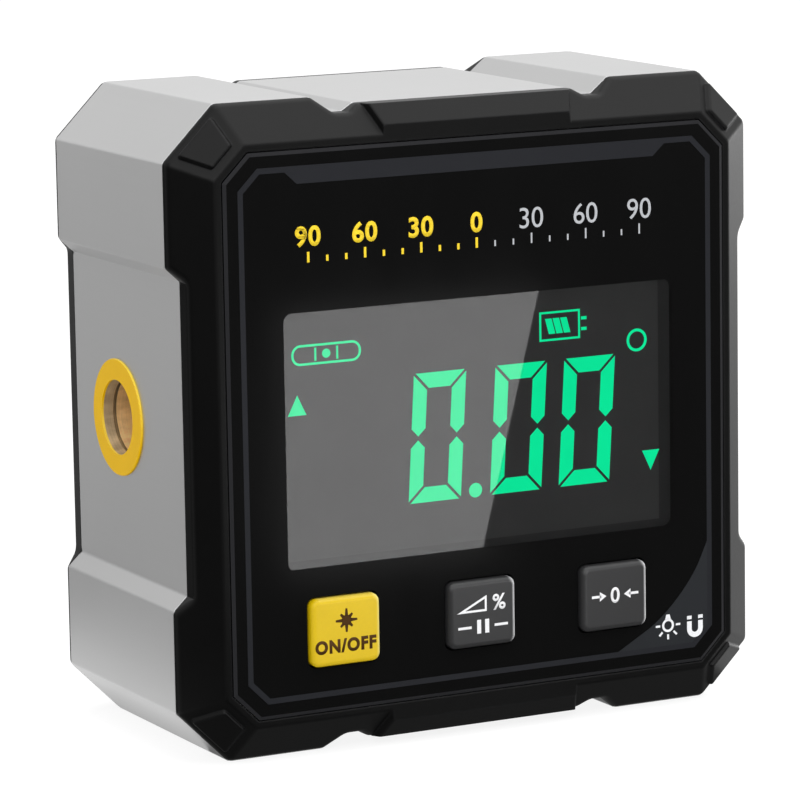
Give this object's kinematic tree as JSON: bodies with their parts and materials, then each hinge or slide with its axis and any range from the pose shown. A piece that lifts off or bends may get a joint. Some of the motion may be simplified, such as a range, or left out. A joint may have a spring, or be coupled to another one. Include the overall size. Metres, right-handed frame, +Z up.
{
  "type": "digital inclinometer",
  "caption": "Square pocket digital inclinometer: aluminium frame with black end mouldings, lit display, three push keys, side laser and magnets in the base.",
  "frame": {"origin": "On the resting plane, under the middle of the overall box.", "axes": "+Z is up, -Y is the way the display faces, -X is the way the laser points."},
  "size_m": [0.06, 0.0314, 0.06],
  "materials": {
    "anodised_aluminium": "satin",
    "black_moulding": "satin",
    "glossy_panel": "gloss",
    "adhesive": "matte",
    "display_glass": "gloss",
    "light_plate": "satin",
    "lamp": "gloss",
    "tinned_pin": "bright",
    "circuit_board": "satin",
    "screw_steel": "satin",
    "chip_black": "matte",
    "sensor_metal": "satin",
    "header_cream": "satin",
    "yellow_ring": "satin",
    "brass": "turned",
    "lens_glass": "clear",
    "cell_pouch": "satin",
    "socket_shell": "bright",
    "insulation": "matte",
    "plated_magnet": "plated",
    "label_film": "satin",
    "yellow_key": "satin",
    "grey_key": "satin",
    "switch_plunger": "satin"
  },
  "bodies": {
    "case": {"body_frame": "anodised_aluminium", "front_bezel": "black_moulding", "rear_cover": "black_moulding", "front_panel": "glossy_panel", "panel_tape": "adhesive", "lcd_glass": "display_glass", "lcd_backlight": "light_plate", "backlight_leds": "lamp", "lcd_pins": "tinned_pin", "main_pcb": "circuit_board", "pcb_screws": "screw_steel", "mcu_chip": "chip_black", "tilt_sensor": "sensor_metal", "pcb_parts": "chip_black", "wire_headers": "header_cream", "switch_housings": "chip_black", "laser_ring": "yellow_ring", "laser_barrel": "brass", "laser_nut": "brass", "laser_lens": "lens_glass", "laser_diode": "brass", "laser_driver": "circuit_board", "laser_holder": "black_moulding", "holder_screws": "screw_steel", "battery_cell": "cell_pouch", "battery_tape": "adhesive", "usb_board": "circuit_board", "usb_screws": "screw_steel", "usb_port": "socket_shell", "wiring": "insulation", "magnets": "plated_magnet", "front_screws": "screw_steel", "rear_screws": "screw_steel", "rear_label": "label_film"},
    "power_key": {"key_power": "yellow_key", "plunger_power": "switch_plunger"},
    "tilt_key": {"key_tilt": "grey_key", "plunger_tilt": "switch_plunger"},
    "zero_key": {"key_zero": "grey_key", "plunger_zero": "switch_plunger"}
  },
  "joints": [
    {"name": "power_press", "type": "slide", "parent": "case", "child": "power_key", "axis": [0, 1, 0], "range_m": [0, 0.0003], "stiffness_N_per_m": 4000},
    {"name": "tilt_press", "type": "slide", "parent": "case", "child": "tilt_key", "axis": [0, 1, 0], "range_m": [0, 0.0003], "stiffness_N_per_m": 4000},
    {"name": "zero_press", "type": "slide", "parent": "case", "child": "zero_key", "axis": [0, 1, 0], "range_m": [0, 0.0003], "stiffness_N_per_m": 4000}
  ]
}
